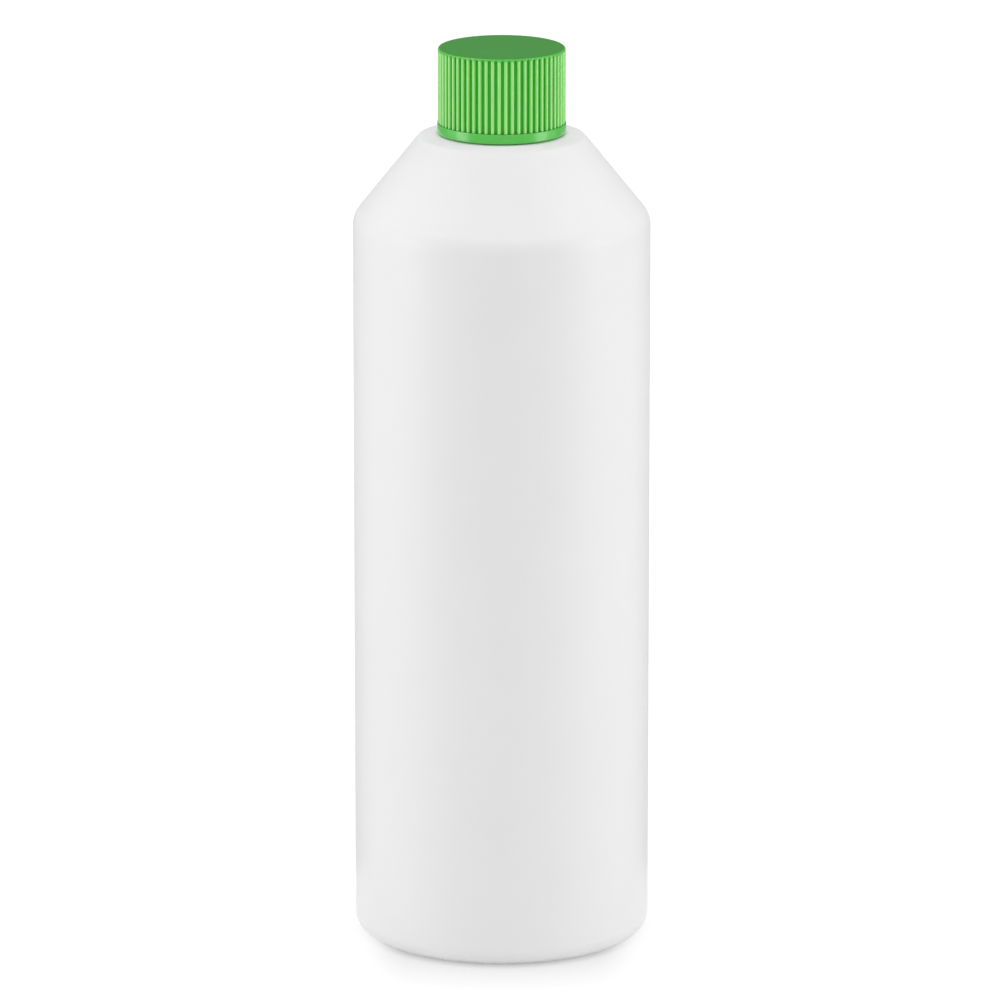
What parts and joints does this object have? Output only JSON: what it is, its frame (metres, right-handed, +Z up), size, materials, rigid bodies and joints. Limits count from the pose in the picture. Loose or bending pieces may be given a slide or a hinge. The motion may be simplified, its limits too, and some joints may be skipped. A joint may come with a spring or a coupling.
{
  "type": "pharmacy bottle",
  "caption": "Round white plastic bottle with a conical shoulder, a narrow shelf round its neck and a green ribbed screw cap with a sealing disc.",
  "frame": {"origin": "centre of the ring that the bottle stands on, on the surface under it", "axes": "+Z up along the bottle's axis, -Y towards the viewer"},
  "size_m": [0.064, 0.064, 0.1964],
  "materials": {
    "bottle_white": "satin blow-moulded polyethylene",
    "cap_green": "satin injection-moulded polypropylene",
    "liner_foam": "matt closed-cell foam"
  },
  "bodies": {
    "bottle": {"bottle": "bottle_white"},
    "liner": {"cap_liner": "liner_foam"},
    "cap": {"screw_cap": "cap_green"}
  },
  "joints": [
    {"name": "cap_lift", "type": "slide", "parent": "bottle", "child": "liner", "axis": [0, 0, 1], "range_m": [0, 0.0256]},
    {"name": "cap_turn", "type": "hinge", "parent": "liner", "child": "cap", "pos_m": [0, 0, 0.1872], "axis": [0, 0, 1], "range_deg": [0, 2880]}
  ],
  "couplings": [
    {"joint": "cap_lift", "follows": "cap_turn", "m_per_rad": 0.00050532}
  ]
}
